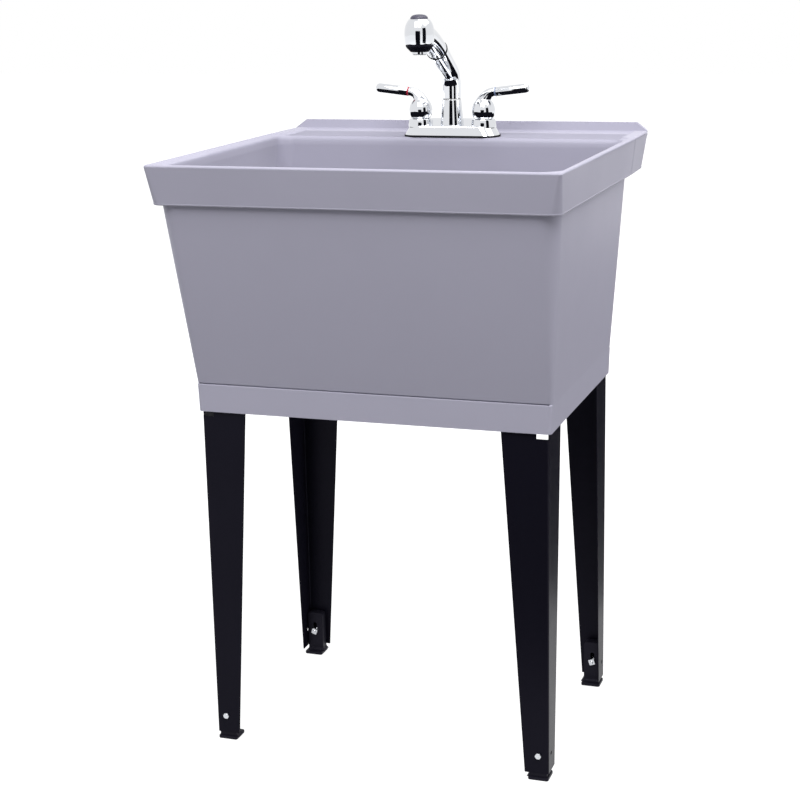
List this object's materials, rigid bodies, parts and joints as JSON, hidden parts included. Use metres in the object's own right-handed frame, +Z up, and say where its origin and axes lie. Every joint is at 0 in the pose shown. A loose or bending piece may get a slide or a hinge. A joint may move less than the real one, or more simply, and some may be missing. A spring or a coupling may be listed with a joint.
{
  "type": "utility laundry sink",
  "caption": "Free-standing laundry sink: a deep plastic tub with a tap deck, on pressed steel legs with levelling feet, with a lever-handle tap whose spray head pulls out.",
  "frame": {"origin": "centre of the rim's bounding box in plan, at floor level", "axes": "+X to the right as seen from the front, +Y towards the wall, +Z up"},
  "size_m": [0.589, 0.5634, 1.0583],
  "materials": {
    "tub_plastic": "moulded, satin",
    "black_steel": "powder coated",
    "black_plastic": "moulded",
    "zinc": "zinc plated",
    "chrome": "polished",
    "brass": "turned",
    "rubber": "moulded",
    "white_plastic": "moulded",
    "hot_red": "moulded",
    "cold_blue": "moulded"
  },
  "bodies": {
    "sink": {"tub": "tub_plastic", "leg_front_left": "black_steel", "leg_front_right": "black_steel", "leg_rear_left": "black_steel", "leg_rear_right": "black_steel", "foot_bolt_front_left": "zinc", "foot_bolt_front_right": "zinc", "foot_bolt_rear_left": "zinc", "foot_bolt_rear_right": "zinc", "foot_nut_front_left": "zinc", "foot_nut_front_right": "zinc", "foot_nut_rear_left": "zinc", "foot_nut_rear_right": "zinc", "drain_body": "white_plastic", "drain_gasket": "rubber", "drain_locknut": "white_plastic", "slip_nut": "white_plastic", "tailpiece": "white_plastic", "tap_gasket": "rubber", "tap_base": "chrome", "swivel_washer": "white_plastic", "hose_tube": "brass", "hose_tube_washer": "rubber", "hose_tube_nut": "white_plastic", "hot_valve": "brass", "hot_valve_washer": "rubber", "hot_valve_nut": "white_plastic", "cold_valve": "brass", "cold_valve_washer": "rubber", "cold_valve_nut": "white_plastic"},
    "front_left_foot": {"foot_front_left": "black_plastic"},
    "front_right_foot": {"foot_front_right": "black_plastic"},
    "rear_left_foot": {"foot_rear_left": "black_plastic"},
    "rear_right_foot": {"foot_rear_right": "black_plastic"},
    "stopper": {"drain_plug": "rubber"},
    "hot_lever_handle": {"hot_handle": "chrome", "hot_lever": "chrome", "hot_ring": "hot_red", "hot_stem": "brass"},
    "cold_lever_handle": {"cold_handle": "chrome", "cold_lever": "chrome", "cold_ring": "cold_blue", "cold_stem": "brass"},
    "swivel_spout": {"spout": "chrome", "dock_ring": "rubber"},
    "spray_head": {"spray_body": "chrome", "spray_ring": "black_plastic", "spray_face": "chrome", "hose_end": "zinc"},
    "spray_switch": {"spray_button": "black_plastic"}
  },
  "joints": [
    {"name": "level_front_left", "type": "slide", "parent": "sink", "child": "front_left_foot", "axis": [0, 0, 1], "range_m": [-0.012, 0.0027]},
    {"name": "level_front_right", "type": "slide", "parent": "sink", "child": "front_right_foot", "axis": [0, 0, 1], "range_m": [-0.012, 0.0027]},
    {"name": "level_rear_left", "type": "slide", "parent": "sink", "child": "rear_left_foot", "axis": [0, 0, 1], "range_m": [-0.012, 0.0027]},
    {"name": "level_rear_right", "type": "slide", "parent": "sink", "child": "rear_right_foot", "axis": [0, 0, 1], "range_m": [-0.012, 0.0027]},
    {"name": "stopper_lift", "type": "slide", "parent": "sink", "child": "stopper", "axis": [0, 0, 1], "range_m": [0, 0.08]},
    {"name": "hot_turn", "type": "hinge", "parent": "sink", "child": "hot_lever_handle", "pos_m": [-0.0508, 0.19815, 0.9], "axis": [0, 0, 1], "range_deg": [0, 90]},
    {"name": "cold_turn", "type": "hinge", "parent": "sink", "child": "cold_lever_handle", "pos_m": [0.0508, 0.19815, 0.9], "axis": [0, 0, 1], "range_deg": [-90, 0]},
    {"name": "spout_swivel", "type": "hinge", "parent": "sink", "child": "swivel_spout", "pos_m": [0, 0.19815, 0.93], "axis": [0, 0, 1], "range_deg": [-90, 90]},
    {"name": "spray_pull", "type": "slide", "parent": "swivel_spout", "child": "spray_head", "axis": [0, -0.8634, 0.5045], "range_m": [0, 0.055]},
    {"name": "spray_press", "type": "slide", "parent": "spray_head", "child": "spray_switch", "axis": [0, 0, -1], "range_m": [0, 0.003], "stiffness_N_per_m": 800}
  ]
}
